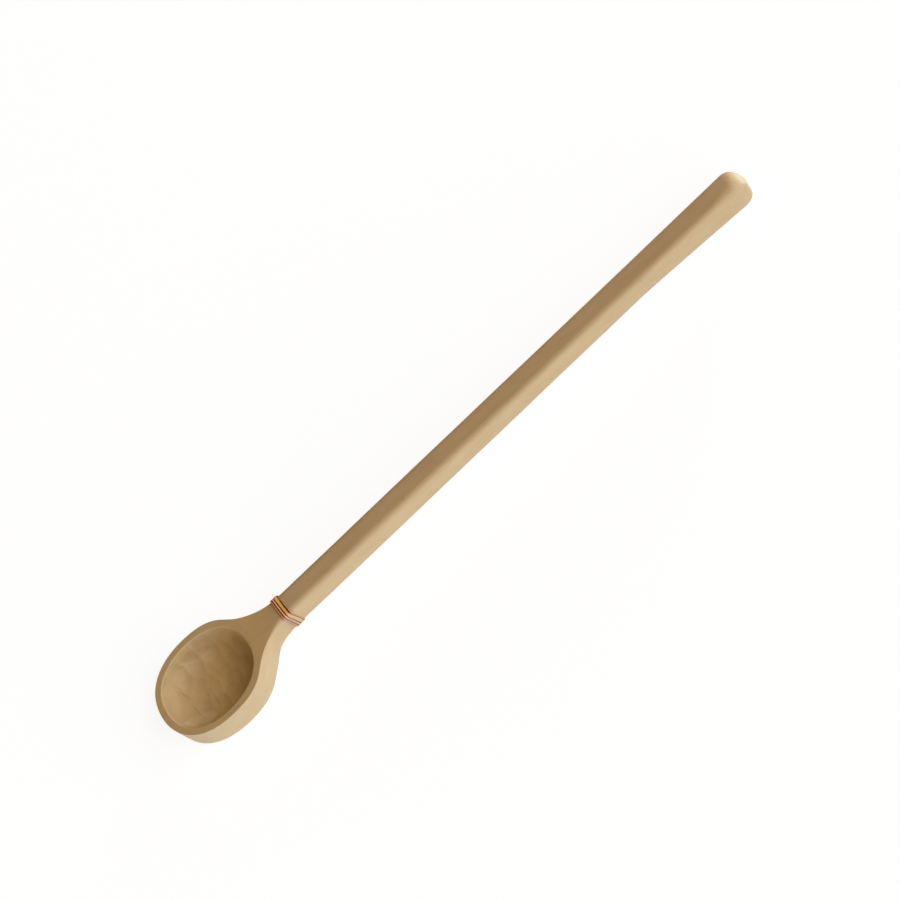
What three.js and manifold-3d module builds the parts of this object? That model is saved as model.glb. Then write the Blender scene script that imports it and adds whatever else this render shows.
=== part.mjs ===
// A long-handled sauna ladle: bowl, neck and handle carved from one piece of wood,
// and a leather lace wound round the neck with both ends set into its underside.
// Millimetres. +X runs along the handle from bowl to grip end, +Y to the ladle's left, +Z up.
// The origin is on the flat base, under the centre of the bowl.
import * as THREE from "three";
import { mergeVertices } from "three/addons/utils/BufferGeometryUtils.js";
import Module from "manifold-3d";

// Bowl
const BOWL_WIDTH = 77.6;
const BOWL_REACH = 46.5; // from the bowl's centre to its far end
const RIM_HEIGHT = 24.9; // at the bowl's centre
const RIM_TILT = 1.75; // degrees; the rim falls away towards the far end
const RIM_WALL = 5.5; // between the outside and the cavity, at the rim
const RIM_EDGE_RADIUS = 0.8;
const BASE_EDGE_RADIUS = 1.5;
const ROUNDNESS = 0.615; // pull of the plan's curves: 0.552 is an ellipse, 1 a rectangle
const SHOULDER_PULL = 28; // how strongly the bowl's flank keeps its width towards the neck

// Cavity
const CAVITY_REACH = 40.8; // from the bowl's centre to the end of the cavity at the neck
const FLOOR_THICKNESS = 5.5;
const CAVITY_FULLNESS = 2.6; // power of the cavity's section: 2 is an ellipse
const RIM_CHAMFER = 0.7;
const RIM_LAND = 1.5; // from the cavity to the line where the rim's plane meets the neck's

// Neck
const NECK_TURN_X = 41.6; // where the outline turns from the bowl's curve to the neck's
const NECK_TURN_WIDTH = 42.8;
const NECK_TURN_ANGLE = 38.5; // degrees between the outline and the handle there
const NECK_TURN_PULL = 10.3;
const NECK_END_X = 75;
const NECK_END_PULL = 13;
const NECK_SCOOP = 1.8; // how much further the underside is hollowed behind the bowl than on the handle
const SCOOP_START_X = 40;
const SCOOP_CREST_X = 57;

// Handle
const HANDLE_WIDTH = 19.3;
const HANDLE_THICKNESS = 22.3;
const HANDLE_EDGE_RADIUS = 4.5;
const HANDLE_RISE = 3.1; // climb of the handle from the neck to the start of the flare
const FLARE_START_X = 433;
const FLARE_POWER = 1.36; // how late the underside drops along the flare: 1 is straight
const TIP_X = 552.3;
const TIP_WIDTH = 19.9;
const TIP_LIFT = 1.2; // climb of the top along the flare
const TIP_CORNER = 11.5; // length of the rounded end in plan
const TIP_ROUNDNESS = 0.6;
const TIP_LEAN = 3.5; // how far the end draws in from the top to the underside
const END_ROUND_LENGTH = 10.8; // over which the top rolls off towards the end
const END_ROUND_DROP = 8.5;

// Lace
const LACE_WIDTH = 2;
const LACE_THICKNESS = 1.3;
const LACE_TURNS = 3;
const LACE_TURN_GAP = 0.45;
const LACE_SETBACK = 1.6; // from the end of the neck to the middle of the winding
const LACE_BEND_ROOM = 0.45; // inside radius of the bend where an end turns into its hole
const LACE_HOLE_DEPTH = 4;
const CLEARANCE = 0.3; // between the lace and the wood

// Facets
const FAR_STEPS = 12;
const SHOULDER_STEPS = 10;
const NECK_STEPS = 12;
const HANDLE_STEPS = 6;
const FLARE_STEPS = 8;
const TIP_STEPS = 7;
const EDGE_STEPS = 4;
const CAVITY_STEPS = 11;
const LACE_CORNER_STEPS = 4;
const LACE_FLAT_STEPS = 2;
const LACE_BEND_STEPS = 3;
const LACE_SIDES = 6;
const HOLE_SIDES = 12;

const { clamp, degToRad, lerp, smoothstep } = THREE.MathUtils;
const QUARTER_TURN = Math.PI / 2;
const neckLineX = CAVITY_REACH + RIM_LAND;
const rimSlope = Math.tan(degToRad(RIM_TILT));
const flareEndX = TIP_X - TIP_LEAN - HANDLE_EDGE_RADIUS;
const laceCentreX = NECK_END_X + LACE_SETBACK;
const lacePitch = LACE_WIDTH + LACE_TURN_GAP;

const wasm = await Module();
wasm.setup();

const at = (x, y) => new THREE.Vector2(x, y);

// Height of the rim, neck and handle, before the lift at the grip end.
function lineAt(x) {
  const rim = RIM_HEIGHT + rimSlope * Math.min(x, neckLineX);
  return rim + HANDLE_RISE * clamp((x - neckLineX) / (FLARE_START_X - neckLineX), 0, 1);
}

// Height of the top, which lifts a little along the flare and rolls off at the grip end.
function topAt(x) {
  const lift = TIP_LIFT * smoothstep(x, FLARE_START_X, TIP_X);
  const share = clamp(1 + (x - TIP_X) / END_ROUND_LENGTH, 0, 1);
  return lineAt(x) + lift - END_ROUND_DROP * (1 - Math.sqrt(1 - share * share));
}

// Height of the underside: flat under the bowl, hollowed behind it, parallel to the handle's top,
// and down again to the base at the grip end.
function bottomAt(x) {
  const handle = lineAt(x) - HANDLE_THICKNESS;
  const scoop = NECK_SCOOP * (1 - smoothstep(x, SCOOP_CREST_X, NECK_END_X));
  const flare = clamp((x - FLARE_START_X) / (flareEndX - FLARE_START_X), 0, 1);
  return (handle + scoop) * smoothstep(x, SCOOP_START_X, SCOOP_CREST_X) * (1 - flare ** FLARE_POWER);
}

// Edges are crisp round the bowl and fully rounded on the handle.
const handleShare = (x) => smoothstep(x, SCOOP_START_X, NECK_END_X);
const topRadiusAt = (x) => lerp(RIM_EDGE_RADIUS, HANDLE_EDGE_RADIUS, handleShare(x));
const bottomRadiusAt = (x) => lerp(BASE_EDGE_RADIUS, HANDLE_EDGE_RADIUS, handleShare(x));

// Points and outward normals along half a plan, from its far end on the axis to its near end on the axis.
function sampleHalf(stretches) {
  const samples = [];
  for (const [curve, steps] of stretches) {
    for (let step = samples.length ? 1 : 0; step <= steps; step++) {
      const along = curve.getTangent(step / steps);
      samples.push({ point: curve.getPoint(step / steps), normal: at(-along.y, along.x) });
    }
  }
  return samples;
}

// A rounded quarter of a plan, between a point on the axis and a point on the flank.
function quarter(from, to, roundness) {
  const corner = from.y === 0 ? at(from.x, to.y) : at(to.x, from.y);
  const pull = (end) => end.clone().lerp(corner, roundness);
  return new THREE.CubicBezierCurve(from, pull(from), pull(to), to);
}

// Half the outline of the wood, with its grip end at tipX.
function bodyPlan(tipX) {
  const far = at(-BOWL_REACH, 0);
  const flank = at(0, BOWL_WIDTH / 2);
  const flankPull = at(SHOULDER_PULL, flank.y);
  const turn = at(NECK_TURN_X, NECK_TURN_WIDTH / 2);
  const slant = degToRad(NECK_TURN_ANGLE);
  const turnPull = at(Math.cos(slant), -Math.sin(slant)).multiplyScalar(NECK_TURN_PULL);
  const neckEnd = at(NECK_END_X, HANDLE_WIDTH / 2);
  const neckPull = at(NECK_END_X - NECK_END_PULL, neckEnd.y);
  const flareStart = at(FLARE_START_X, neckEnd.y);
  const flareEnd = at(tipX - TIP_CORNER, TIP_WIDTH / 2);
  const tip = at(tipX, 0);
  return sampleHalf([
    [quarter(far, flank, ROUNDNESS), FAR_STEPS],
    [new THREE.CubicBezierCurve(flank, flankPull, turn.clone().sub(turnPull), turn), SHOULDER_STEPS],
    [new THREE.CubicBezierCurve(turn, turn.clone().add(turnPull), neckPull, neckEnd), NECK_STEPS],
    [new THREE.LineCurve(neckEnd, flareStart), HANDLE_STEPS],
    [new THREE.LineCurve(flareStart, flareEnd), FLARE_STEPS],
    [quarter(flareEnd, tip, TIP_ROUNDNESS), TIP_STEPS],
  ]);
}

function cavityPlan() {
  const far = at(RIM_WALL - BOWL_REACH, 0);
  const flank = at(0, BOWL_WIDTH / 2 - RIM_WALL);
  const near = at(CAVITY_REACH, 0);
  return sampleHalf([
    [quarter(far, flank, ROUNDNESS), FAR_STEPS],
    [quarter(flank, near, ROUNDNESS), FAR_STEPS],
  ]);
}

// A closed ring from places along half a plan: out along +Y and back along -Y.
function mirroredRing(half) {
  half[0].y = 0;
  half.at(-1).y = 0;
  const back = half.slice(1, -1).reverse();
  return [...half, ...back.map((place) => new THREE.Vector3(place.x, -place.y, place.z))];
}

function solidOf(vertProperties, triVerts) {
  return new wasm.Manifold(new wasm.Mesh({ numProp: 3, vertProperties, triVerts }));
}

function solidFromRings(rings, triangles) {
  const coordinates = rings.flat().flatMap((point) => point.toArray());
  return solidOf(new Float32Array(coordinates), new Uint32Array(triangles));
}

function solidFromShape(shape) {
  shape.deleteAttribute("normal");
  shape.deleteAttribute("uv");
  const merged = mergeVertices(shape);
  return solidOf(merged.attributes.position.array, new Uint32Array(merged.index.array));
}

// A closed solid from mirrored rings stacked upwards, with strips across the lowest and highest ring.
function stackedSolid(rings) {
  const size = rings[0].length;
  const half = size / 2;
  const last = (rings.length - 1) * size;
  const triangles = [];
  for (let level = 0; level + 1 < rings.length; level++) {
    for (let i = 0; i < size; i++) {
      const here = level * size + i;
      const next = level * size + ((i + 1) % size);
      triangles.push(here, here + size, next, next, here + size, next + size);
    }
  }
  for (let i = 0; i < half; i++) {
    const mirror = (size - i) % size;
    const nextMirror = size - i - 1;
    if (i > 0) {
      triangles.push(i, i + 1, mirror);
      triangles.push(last + i, last + mirror, last + i + 1);
    }
    if (i + 1 < half) {
      triangles.push(i + 1, nextMirror, mirror);
      triangles.push(last + i + 1, last + mirror, last + nextMirror);
    }
  }
  return solidFromRings(rings, triangles);
}

// The wood before it is hollowed: its outline, drawn in at the rounded bottom and top edges.
function blank() {
  const topPlan = bodyPlan(TIP_X);
  const bottomPlan = bodyPlan(TIP_X - TIP_LEAN);
  const ring = (plan, insetAt, heightAt) =>
    mirroredRing(
      plan.map(({ point, normal }) => {
        const place = point.clone().addScaledVector(normal, -insetAt(point.x));
        return new THREE.Vector3(place.x, place.y, heightAt(place.x, point.x));
      }),
    );
  const bottomRings = [];
  const topRings = [];
  for (let step = 0; step <= EDGE_STEPS; step++) {
    const sine = Math.sin((QUARTER_TURN * step) / EDGE_STEPS);
    const cosine = Math.cos((QUARTER_TURN * step) / EDGE_STEPS);
    bottomRings.push(
      ring(
        bottomPlan,
        (x) => bottomRadiusAt(x) * (1 - sine),
        (x, edgeX) => bottomAt(x) + bottomRadiusAt(edgeX) * (1 - cosine),
      ),
    );
    topRings.push(
      ring(
        topPlan,
        (x) => topRadiusAt(x) * (1 - cosine),
        (x, edgeX) => topAt(x) - topRadiusAt(edgeX) * (1 - sine),
      ),
    );
  }
  return stackedSolid([...bottomRings, ...topRings]);
}

// What is carved out of the bowl: scaled copies of the cavity's plan, then a chamfer at the rim.
function cavity() {
  const plan = cavityPlan();
  const ring = (scale, grow, heightAt) =>
    mirroredRing(
      plan.map(({ point, normal }) => {
        const place = point.clone().multiplyScalar(scale).addScaledVector(normal, grow);
        return new THREE.Vector3(place.x, place.y, heightAt(place.x));
      }),
    );
  const rings = [];
  for (let step = 1; step <= CAVITY_STEPS; step++) {
    const angle = (QUARTER_TURN * step) / CAVITY_STEPS;
    const scale = Math.sin(angle) ** (2 / CAVITY_FULLNESS);
    const climb = 1 - Math.cos(angle) ** (2 / CAVITY_FULLNESS);
    rings.push(ring(scale, 0, (x) => lerp(FLOOR_THICKNESS, topAt(x) - RIM_CHAMFER, climb)));
  }
  rings.push(ring(1, 2 * RIM_CHAMFER, (x) => topAt(x) + RIM_CHAMFER));
  return stackedSolid(rings);
}

const laceX = (turn) => laceCentreX + lacePitch * (turn - LACE_TURNS / 2);

// One pass of the lace round the neck's section, from the middle of the underside, as places in the
// section's plane with the direction that faces away from the wood at each.
function lacePass() {
  const stand = CLEARANCE + LACE_THICKNESS / 2;
  const radius = HANDLE_EDGE_RADIUS + stand;
  const side = HANDLE_WIDTH / 2 - HANDLE_EDGE_RADIUS;
  const top = topAt(laceCentreX) - HANDLE_EDGE_RADIUS;
  const bottom = bottomAt(laceCentreX) + HANDLE_EDGE_RADIUS;
  const corners = [at(side, bottom), at(side, top), at(-side, top), at(-side, bottom)];
  const pass = [];
  corners.forEach((corner, index) => {
    const before = corners.at(index - 1);
    const flatOutward = at(Math.sin(QUARTER_TURN * index), -Math.cos(QUARTER_TURN * index));
    for (let step = 1; step < LACE_FLAT_STEPS; step++) {
      const middle = before.clone().lerp(corner, step / LACE_FLAT_STEPS);
      pass.push({ centre: middle.addScaledVector(flatOutward, radius), outward: flatOutward });
    }
    for (let step = 0; step <= LACE_CORNER_STEPS; step++) {
      const angle = QUARTER_TURN * (index + step / LACE_CORNER_STEPS);
      const outward = at(Math.sin(angle), -Math.cos(angle));
      pass.push({ centre: corner.clone().addScaledVector(outward, radius), outward });
    }
  });
  return pass;
}

// One end of the lace, from the underside round the edge of its hole and straight up into the wood.
// way is the direction along Y in which the lace comes to the hole.
function laceEnd(start, turn, way) {
  const radius = LACE_THICKNESS / 2 + LACE_BEND_ROOM;
  const pivot = at(-way * radius, start.centre.y + radius);
  const end = [];
  for (let step = 0; step <= LACE_BEND_STEPS; step++) {
    const angle = (QUARTER_TURN * step) / LACE_BEND_STEPS;
    const outward = at(way * Math.sin(angle), -Math.cos(angle));
    end.push({ centre: pivot.clone().addScaledVector(outward, radius), outward, turn });
  }
  const { outward } = end.at(-1);
  const inside = bottomAt(laceCentreX) + LACE_HOLE_DEPTH - CLEARANCE;
  end.push({ centre: at(0, inside), outward, turn });
  return end;
}

function laceRoute() {
  const pass = lacePass();
  const route = laceEnd(pass[0], 0, -1).reverse();
  for (let turn = 0; turn < LACE_TURNS; turn++) {
    pass.forEach((place, index) => {
      if (turn + index > 0) {
        route.push({ ...place, turn: turn + index / pass.length });
      }
    });
  }
  return [...route, ...laceEnd(pass[0], LACE_TURNS, 1)];
}

// How near the lace's turns come to each other, leaving out each ring's neighbours along the tube.
function leastTurnGap(rings) {
  const halfPass = lacePass().length / 2;
  let least = Infinity;
  rings.forEach((ring, index) => {
    for (const other of rings.slice(index + halfPass)) {
      for (const point of ring) {
        least = Math.min(least, ...other.map((facing) => facing.distanceTo(point)));
      }
    }
  });
  return least;
}

// One unbroken tube of flattened section along the route.
function lace() {
  const rings = laceRoute().map(({ centre, outward, turn }) => {
    const ring = [];
    for (let side = 0; side < LACE_SIDES; side++) {
      const angle = (4 * QUARTER_TURN * side) / LACE_SIDES;
      const across = (LACE_WIDTH / 2) * Math.cos(angle);
      const place = centre.clone().addScaledVector(outward, (LACE_THICKNESS / 2) * Math.sin(angle));
      ring.push(new THREE.Vector3(laceX(turn) + across, place.x, place.y));
    }
    return ring;
  });
  console.log(`least gap between turns of the lace: ${leastTurnGap(rings).toFixed(2)} mm`);
  const last = (rings.length - 1) * LACE_SIDES;
  const triangles = [];
  for (let first = 0; first < last; first += LACE_SIDES) {
    for (let side = 0; side < LACE_SIDES; side++) {
      const here = first + side;
      const next = first + ((side + 1) % LACE_SIDES);
      triangles.push(here, next, here + LACE_SIDES, next, next + LACE_SIDES, here + LACE_SIDES);
    }
  }
  for (let side = 1; side + 1 < LACE_SIDES; side++) {
    triangles.push(0, side + 1, side);
    triangles.push(last, last + side, last + side + 1);
  }
  return solidFromRings(rings, triangles);
}

// The blind hole in the neck's underside that one end of the lace is set in.
function laceHole(turn) {
  const radius = Math.max(LACE_WIDTH, LACE_THICKNESS) / 2 + CLEARANCE;
  const shape = new THREE.CylinderGeometry(radius, radius, 2 * LACE_HOLE_DEPTH, HOLE_SIDES);
  shape.rotateX(QUARTER_TURN);
  shape.translate(laceX(turn), 0, bottomAt(laceCentreX));
  return solidFromShape(shape);
}

function meshOf(name, solid, material) {
  const { vertProperties, triVerts } = solid.getMesh();
  const geometry = new THREE.BufferGeometry();
  geometry.setAttribute("position", new THREE.BufferAttribute(vertProperties, 3));
  geometry.setIndex(new THREE.BufferAttribute(triVerts, 1));
  geometry.computeVertexNormals();
  const mesh = new THREE.Mesh(geometry, material);
  mesh.name = name;
  return mesh;
}

const wood = new THREE.MeshStandardMaterial({ color: 0xcfb78f, roughness: 0.62, metalness: 0 });
const leather = new THREE.MeshStandardMaterial({ color: 0xb97a3f, roughness: 0.7, metalness: 0 });

const carved = blank().subtract(cavity()).subtract(laceHole(0)).subtract(laceHole(LACE_TURNS));

const ladle = new THREE.Group();
ladle.name = "sauna_ladle";
ladle.add(meshOf("ladle_body", carved, wood));
ladle.add(meshOf("neck_lace", lace(), leather));

export default ladle;
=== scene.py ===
import math

import bmesh
import bpy
import numpy as np
from mathutils import Matrix, Vector, noise


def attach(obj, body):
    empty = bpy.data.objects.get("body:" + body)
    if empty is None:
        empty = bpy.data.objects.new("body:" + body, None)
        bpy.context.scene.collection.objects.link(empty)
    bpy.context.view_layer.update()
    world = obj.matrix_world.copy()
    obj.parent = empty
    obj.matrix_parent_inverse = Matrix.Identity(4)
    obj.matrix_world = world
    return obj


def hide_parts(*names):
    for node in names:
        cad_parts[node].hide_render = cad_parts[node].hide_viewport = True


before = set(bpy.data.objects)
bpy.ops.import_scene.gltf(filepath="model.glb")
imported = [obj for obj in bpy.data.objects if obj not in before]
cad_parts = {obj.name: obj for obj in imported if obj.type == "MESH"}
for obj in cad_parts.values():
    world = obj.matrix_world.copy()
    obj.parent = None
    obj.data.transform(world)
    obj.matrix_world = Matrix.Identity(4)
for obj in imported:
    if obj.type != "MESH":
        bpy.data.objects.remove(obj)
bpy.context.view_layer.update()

QUARTER_TURN = math.pi / 2
FULL_TURN = 2 * math.pi

# Bowl
BOWL_WIDTH = 0.0776
BOWL_REACH = 0.0465  # from the bowl's centre to its far end
RIM_HEIGHT = 0.0249  # at the bowl's centre
RIM_TILT = 1.75  # degrees; the rim falls away towards the far end
RIM_WALL = 0.0055
RIM_EDGE_RADIUS = 0.0004
BASE_EDGE_RADIUS = 0.0015
ROUNDNESS = 0.615  # pull of the plan's curves: 0.552 is an ellipse, 1 a rectangle
SHOULDER_PULL = 0.028
FLANK_LEAN = 0.0007  # of the rim over the base, where the -Y flank leans out the most
FLANK_LEAN_X = 0.026
FLANK_LEAN_LENGTH = 0.021

# Cavity
CAVITY_REACH = 0.0408
FLOOR_THICKNESS = 0.0055
CAVITY_FULLNESS = 2.6  # power of the cavity's section: 2 is an ellipse
NECK_FULLNESS = 2.15  # the same towards the neck, where the wall is cut at a slant
RIM_CHAMFER = 0.0007  # depth of the cavity's rounded edge
CHAMFER_SLANT = 1.6  # its reach across the rim over its depth
CRISP_CHAMFER = 0.0003  # its depth where it is crisper,
CRISP_BEARINGS = (60, -172)  # which is round these bearings from the bowl's centre, in degrees from +X
CRISP_SPREAD = (28, 11)  # and from nothing to the full over these angles from them
RIM_LAND = 0.0015  # from the cavity to the line where the rim's plane meets the neck's

# Neck
NECK_TURN_X = 0.0416
NECK_TURN_WIDTH = 0.0428
NECK_TURN_ANGLE = 38.5  # degrees
NECK_TURN_PULL = 0.0103
NECK_END_X = 0.075
NECK_END_PULL = 0.013
NECK_SCOOP = 0.0018
SCOOP_START_X = 0.040
SCOOP_CREST_X = 0.057

# Handle
HANDLE_WIDTH = 0.0193
HANDLE_THICKNESS = 0.0223
HANDLE_EDGE_RADIUS = 0.0045
TOP_EDGE_REACH = 0.0049  # of the handle's upper edges across the top
TOP_EDGE_DROP = 0.0038  # and down the side
FAR_EDGE_SHARE = 0.9  # of those on the handle's +Y side
EDGE_START_X = 0.045  # the bowl's crisp edges grow from here
EDGE_FULL_X = 0.085  # into the handle's
HANDLE_RISE = 0.0031
FLARE_START_X = 0.433
FLARE_POWER = 1.36
TIP_X = 0.5523
TIP_WIDTH = 0.0199
TIP_LIFT = 0.0012
TIP_CORNER = 0.0115
TIP_ROUNDNESS = 0.6
TIP_LEAN = 0.0035
TIP_EDGE_SHARE = 2.1  # by which the upper edge grows on the grip end's -Y side
TIP_EDGE_RUN = 3 * TIP_CORNER  # over which it grows
END_ROUND_LENGTH = 0.0108  # over which the top rolls off towards the end
END_ROUND_DROP = 0.0083

# Lace
LACE_THICKNESS = 0.001
LACE_GAP = 0.00005  # between the lace and the wood it is pulled tight on
LACE_TURNS = 3
LACE_SETBACK = 0.0016  # of its middle past the neck's end
LACE_CREASE_RADIUS = 0.0033  # of its outer face, where it is creased over the neck's upper edges
LACE_BEND_RADIUS = 0.0011  # where an end turns up into its hole
LACE_HOLE_RADIUS = 0.0013
LACE_HOLE_DEPTH = 0.004
LACE_END_DEPTH = 0.9 * LACE_HOLE_DEPTH  # of the lace's ends in the holes
LACE_SQUARENESS = 3.2  # power of the lace's section: 2 is an ellipse
LACE_TILT = 0.22  # how much lower than the middle each turn is along its edge towards the handle
GROOVE_PLACE = -0.1  # of the groove along its outer face, in half widths from its middle
GROOVE_BREADTH = 0.12  # in half widths
GROOVE_DEPTH = 0.12  # of its thickness

# Where the lace lies along the neck and how wide it is pressed, by turns from its first end.
LACE_TURN_KNOTS = (0, 0.5, 1.5, 2.5, 3)
LACE_SHIFT_KNOTS = (-0.003675, -0.00267, -0.0008, 0.0018, 0.003675)
LACE_WIDTH_TURNS = (0, 0.2, 0.85, 1.15, 1.85, 2.15, 2.8, 3)
LACE_WIDTH_KNOTS = (0.0016, 0.00185, 0.00185, 0.0019, 0.0019, 0.0033, 0.0033, 0.0018)

# Width of the dark band along its edge towards the handle, in the same way: the dyed cut edge, widened on
# the last turn's top near the -Y crease into painted shadow of the gap by the wood.
LACE_EDGE_TURNS = (0, 2.3, 2.42, 2.5, 2.62, 2.68, 3)
LACE_EDGE_KNOTS = (0.00095, 0.0007, 0.0008, 0.0013, 0.0014, 0.0007, 0.0007)

# Mesh fineness
FAR_STEPS = 56
SHOULDER_STEPS = 40
NECK_STEPS = 44
BOWL_NECK_STEPS = NECK_STEPS // 3  # those of the neck that belong to the bowl's upper face
HANDLE_STEPS = 72
FLARE_STEPS = 36
TIP_STEPS = 40
EDGE_STEPS = 9
WALL_STEPS = 9
ACROSS_STEPS = 12
LAND_STEPS = 6
CHAMFER_STEPS = 5
CAVITY_STEPS = 48
CAVITY_EDGE_STEPS = 4 * FAR_STEPS
LACE_FLAT_STEPS = 26
LACE_CORNER_STEPS = 14
LACE_BEND_STEPS = 8
LACE_SIDES = 36
HOLE_SIDES = 32
HOLE_TURN = 0.3  # of a side, so that no corner of a hole lies on the neck's middle line

# Traces of handwork
WOBBLE = 0.00018
WOBBLE_LENGTH = 0.055
WOBBLE_ACROSS = 0.022
WOBBLE_HEIGHTS = (0.0005, 0.004)  # from none of it at the flat base to all of it
GOUGE_DEPTH = 0.002
GOUGE_WIDTH = 0.011
GOUGE_LENGTH = 0.019
GOUGE_LEVEL = 0.4  # of the ridges between cuts that the cavity's surface keeps to

# Where the wood's tones and its painted shade lie. A pair of limits runs from none of a tone to all of
# it.
HOLLOW_DEPTHS = (RIM_CHAMFER, 4 * RIM_CHAMFER)  # of the cavity's own, below the rim
DEEP_SHADE_FACING = (-0.8, 0.6)  # of the cavity's deeper painted shade, by how far its wall faces +Y and -X, away from the key light
SLANT_SHADE_SHARE = 0.65  # of that painted shade, on the slanted wall towards the neck,
SLANT_X = (0.024, 0.036)  # which lies here
SLANT_Y = (-0.004, 0.008)
RIM_SHADE_SHARE = 0.44  # of the deeper painted shade on the rim and neck, next to that of the cavity's darkest wall
FAR_RIM_SHADE_SHARE = 0.45  # of that, on the rim's +Y side
FAR_RIM_Y = (0.012, 0.034)
LIP_TOWARDS = (0.42, -0.91)  # the lit side of the cavity's edge faces this way in plan
LIP_FACING = (0.05, 0.6)  # by how far it does
LIP_DEPTHS = (0.006, 0.014)  # below the rim, over which its painted shade fades out
LIP_EDGE_DEPTHS = (0.0005, 0.003)  # over which it comes in,
LIP_EDGE_SHARE = 0.4  # from this share at the rim
FAR_EDGE_ACROSS = (0.25, 0.6)  # of the painted shade on the upper edge on the +Y side, by how far it faces +Y
FAR_EDGE_UP = (0.2, 0.45)  # and by how far it faces up
END_FACING = (0.78, 0.92)  # of the grip end's face, by how far it faces +X

# Where the leather's tones, its painted light and its painted shade lie, in the same way.
EDGE_CORE = 0.5  # of the dark band along an edge that is fully dark
BOWL_EDGE_LIMITS = (0.1, 0.4)  # of that band's width, along the other edge
FAR_SIDE_FACING = (0.2, 0.7)  # of the painted shade on the lace's +Y side, by how far it faces +Y
FAR_SIDE_SHADE = 0.5
NEAR_SIDE_FACING = (0.5, 0.95)  # of its lit -Y side, painted lighter, by how far it faces -Y

neck_line_x = CAVITY_REACH + RIM_LAND
rim_slope = math.tan(math.radians(RIM_TILT))
flare_end_x = TIP_X - TIP_LEAN - HANDLE_EDGE_RADIUS
lace_centre_x = NECK_END_X + LACE_SETBACK


def lerp(a, b, share):
    return a + (b - a) * share


def smoothstep(x, low, high):
    share = np.clip((x - low) / (high - low), 0, 1)
    return share * share * (3 - 2 * share)


def line_height(x):
    """Height of the rim, neck and handle, before the lift at the grip end."""
    rim = RIM_HEIGHT + rim_slope * np.minimum(x, neck_line_x)
    return rim + HANDLE_RISE * np.clip((x - neck_line_x) / (FLARE_START_X - neck_line_x), 0, 1)


def top_height(x):
    """Height of the top, which lifts a little along the flare and rolls off at the grip end."""
    lift = TIP_LIFT * smoothstep(x, FLARE_START_X, TIP_X)
    share = np.clip(1 + (x - TIP_X) / END_ROUND_LENGTH, 0, 1)
    return line_height(x) + lift - END_ROUND_DROP * (1 - np.sqrt(1 - share * share))


def underside_height(x):
    handle = line_height(x) - HANDLE_THICKNESS
    scoop = NECK_SCOOP * (1 - smoothstep(x, SCOOP_CREST_X, NECK_END_X))
    flare = np.clip((x - FLARE_START_X) / (flare_end_x - FLARE_START_X), 0, 1)
    return (handle + scoop) * smoothstep(x, SCOOP_START_X, SCOOP_CREST_X) * (1 - flare**FLARE_POWER)


def edge_size(x, at_bowl, on_handle):
    """Size of an edge's rounding, which is crisp round the bowl and full on the handle."""
    return lerp(at_bowl, on_handle, smoothstep(x, EDGE_START_X, EDGE_FULL_X))


def bezier(start, pull_start, pull_end, end, steps):
    """Places along a cubic curve in plan, and the direction to its left at each."""
    share = np.linspace(0, 1, steps + 1)[:, None]
    a, b, c, d = (np.array(place, float) for place in (start, pull_start, pull_end, end))
    rest = 1 - share
    places = rest**3 * a + 3 * rest**2 * share * b + 3 * rest * share**2 * c + share**3 * d
    along = rest**2 * (b - a) + 2 * rest * share * (c - b) + share**2 * (d - c)
    along /= np.linalg.norm(along, axis=1)[:, None]
    return places, np.column_stack([-along[:, 1], along[:, 0]])


def quarter(start, end, roundness, steps):
    """A rounded quarter of a plan, between a place on the axis and a place on the flank."""
    start = np.array(start, float)
    end = np.array(end, float)
    corner = np.array([start[0], end[1]]) if start[1] == 0 else np.array([end[0], start[1]])
    return bezier(start, lerp(start, corner, roundness), lerp(end, corner, roundness), end, steps)


def straight(start, end, steps):
    start = np.array(start, float)
    end = np.array(end, float)
    return bezier(start, lerp(start, end, 1 / 3), lerp(start, end, 2 / 3), end, steps)


def joined(stretches):
    """Stretches of a plan end to end, with each shared place kept once."""
    places = [stretches[0][0]] + [stretch[0][1:] for stretch in stretches[1:]]
    normals = [stretches[0][1]] + [stretch[1][1:] for stretch in stretches[1:]]
    return np.concatenate(places), np.concatenate(normals)


def body_plan(tip_x):
    """Half the outline of the wood, from the bowl's far end to a grip end at tip_x."""
    flank = np.array([0, BOWL_WIDTH / 2])
    turn = np.array([NECK_TURN_X, NECK_TURN_WIDTH / 2])
    slant = math.radians(NECK_TURN_ANGLE)
    turn_pull = NECK_TURN_PULL * np.array([math.cos(slant), -math.sin(slant)])
    neck_end = np.array([NECK_END_X, HANDLE_WIDTH / 2])
    flare_start = np.array([FLARE_START_X, HANDLE_WIDTH / 2])
    flare_end = np.array([tip_x - TIP_CORNER, TIP_WIDTH / 2])
    return joined(
        [
            quarter((-BOWL_REACH, 0), flank, ROUNDNESS, FAR_STEPS),
            bezier(flank, flank + (SHOULDER_PULL, 0), turn - turn_pull, turn, SHOULDER_STEPS),
            bezier(turn, turn + turn_pull, neck_end - (NECK_END_PULL, 0), neck_end, NECK_STEPS),
            straight(neck_end, flare_start, HANDLE_STEPS),
            straight(flare_start, flare_end, FLARE_STEPS),
            quarter(flare_end, (tip_x, 0), TIP_ROUNDNESS, TIP_STEPS),
        ]
    )


def closed_ring(left, right):
    """A ring out along the left half of a plan and back along the right half, turned over to -Y."""
    left = left.copy()
    left[0, 1] = 0
    left[-1, 1] = 0
    return np.concatenate([left, right[-2:0:-1] * (1, -1, 1)])


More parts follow.
